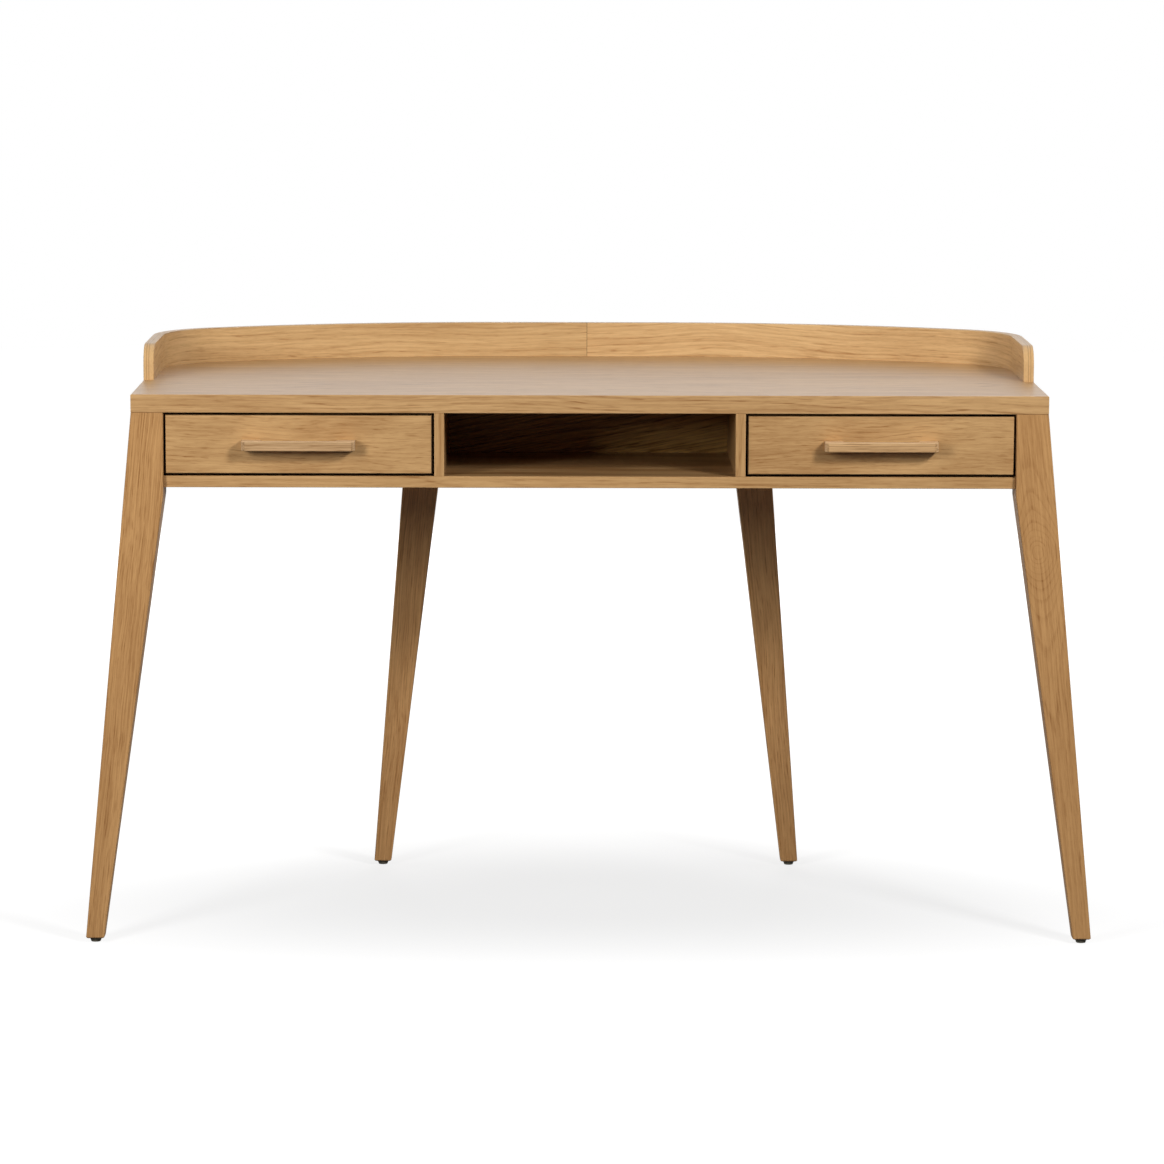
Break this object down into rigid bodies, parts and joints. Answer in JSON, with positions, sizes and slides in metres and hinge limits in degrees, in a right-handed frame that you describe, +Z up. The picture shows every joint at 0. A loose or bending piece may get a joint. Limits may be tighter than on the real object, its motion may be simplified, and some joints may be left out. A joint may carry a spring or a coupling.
{
  "type": "writing desk with drawers",
  "caption": "Oak writing desk with a bowed back, a low curved gallery rail, drawers on telescopic runners beside an open cubby, and splayed tapered legs.",
  "frame": {"origin": "on the floor, under the middle of the desk's bounding box", "axes": "+X to the right along the front, +Y from the drawers to the bowed back, +Z up"},
  "size_m": [1.4034, 0.6742, 0.8125],
  "materials": {
    "desktop_oak": "satin clear lacquer on oak veneer, grain along the front",
    "gallery_oak": "satin clear lacquer on bent oak ply, grain along its length",
    "leg_oak": "satin clear lacquer on solid oak, grain along the leg",
    "divider_oak": "satin clear lacquer on oak veneer, upright grain",
    "drawer_front_oak": "satin clear lacquer on oak veneer, grain along the front",
    "handle_oak": "satin clear lacquer on solid oak, straight grain",
    "bottom_panel_oak": "satin clear lacquer on oak veneer, grain along the front",
    "case_oak": "satin clear lacquer on oak veneer",
    "frame_beech": "plain sanded beech",
    "dowel_beech": "plain turned beech",
    "drawer_box_birch": "clear lacquer on birch ply",
    "runner_steel": "black zinc plating",
    "bolt_black_steel": "black oxide",
    "insert_brass": "plain",
    "cam_zinc": "cast zinc, matt",
    "screw_zinc": "zinc plated",
    "glide_plastic": "matt grey brown, fine moulded tooth"
  },
  "bodies": {
    "desk": {"back_panel_centre": "case_oak", "back_panel_left": "case_oak", "back_panel_right": "case_oak", "bottom_panel": "bottom_panel_oak", "cabinet_rail_screws": "screw_zinc", "cam_bolts": "screw_zinc", "cam_locks": "cam_zinc", "case_dowels": "dowel_beech", "cleat_screws": "screw_zinc", "desktop": "desktop_oak", "divider_left": "divider_oak", "divider_right": "divider_oak", "foot_glides": "glide_plastic", "front_leg_left": "leg_oak", "front_leg_right": "leg_oak", "gallery_rail_left": "gallery_oak", "gallery_rail_right": "gallery_oak", "gallery_screws": "screw_zinc", "left_drawer_left_cabinet_rail": "runner_steel", "left_drawer_right_cabinet_rail": "runner_steel", "rear_leg_bolts": "bolt_black_steel", "rear_leg_inserts": "insert_brass", "rear_leg_left": "leg_oak", "rear_leg_right": "leg_oak", "rear_rail": "frame_beech", "right_drawer_left_cabinet_rail": "runner_steel", "right_drawer_right_cabinet_rail": "runner_steel", "side_panel_left": "case_oak", "side_panel_right": "case_oak", "top_cleat_centre": "frame_beech", "top_cleat_left": "frame_beech", "top_cleat_right": "frame_beech"},
    "left_drawer": {"left_drawer_back": "drawer_box_birch", "left_drawer_bottom": "drawer_box_birch", "left_drawer_dowels": "dowel_beech", "left_drawer_front": "drawer_front_oak", "left_drawer_handle": "handle_oak", "left_drawer_handle_screws": "screw_zinc", "left_drawer_left_drawer_rail": "runner_steel", "left_drawer_left_side": "drawer_box_birch", "left_drawer_right_drawer_rail": "runner_steel", "left_drawer_right_side": "drawer_box_birch", "left_drawer_runner_screws": "screw_zinc"},
    "right_drawer": {"right_drawer_back": "drawer_box_birch", "right_drawer_bottom": "drawer_box_birch", "right_drawer_dowels": "dowel_beech", "right_drawer_front": "drawer_front_oak", "right_drawer_handle": "handle_oak", "right_drawer_handle_screws": "screw_zinc", "right_drawer_left_drawer_rail": "runner_steel", "right_drawer_left_side": "drawer_box_birch", "right_drawer_right_drawer_rail": "runner_steel", "right_drawer_right_side": "drawer_box_birch", "right_drawer_runner_screws": "screw_zinc"},
    "left_middle_rails": {"left_drawer_left_middle_rail": "runner_steel", "left_drawer_right_middle_rail": "runner_steel"},
    "right_middle_rails": {"right_drawer_left_middle_rail": "runner_steel", "right_drawer_right_middle_rail": "runner_steel"}
  },
  "joints": [
    {"name": "left_drawer_slide", "type": "slide", "parent": "desk", "child": "left_drawer", "axis": [0, -1, 0], "range_m": [0, 0.24]},
    {"name": "left_middle_rail_slide", "type": "slide", "parent": "desk", "child": "left_middle_rails", "axis": [0, -1, 0], "range_m": [0, 0.12]},
    {"name": "right_drawer_slide", "type": "slide", "parent": "desk", "child": "right_drawer", "axis": [0, -1, 0], "range_m": [0, 0.24]},
    {"name": "right_middle_rail_slide", "type": "slide", "parent": "desk", "child": "right_middle_rails", "axis": [0, -1, 0], "range_m": [0, 0.12]}
  ],
  "couplings": [
    {"joint": "left_middle_rail_slide", "follows": "left_drawer_slide", "ratio": 0.5},
    {"joint": "right_middle_rail_slide", "follows": "right_drawer_slide", "ratio": 0.5}
  ]
}
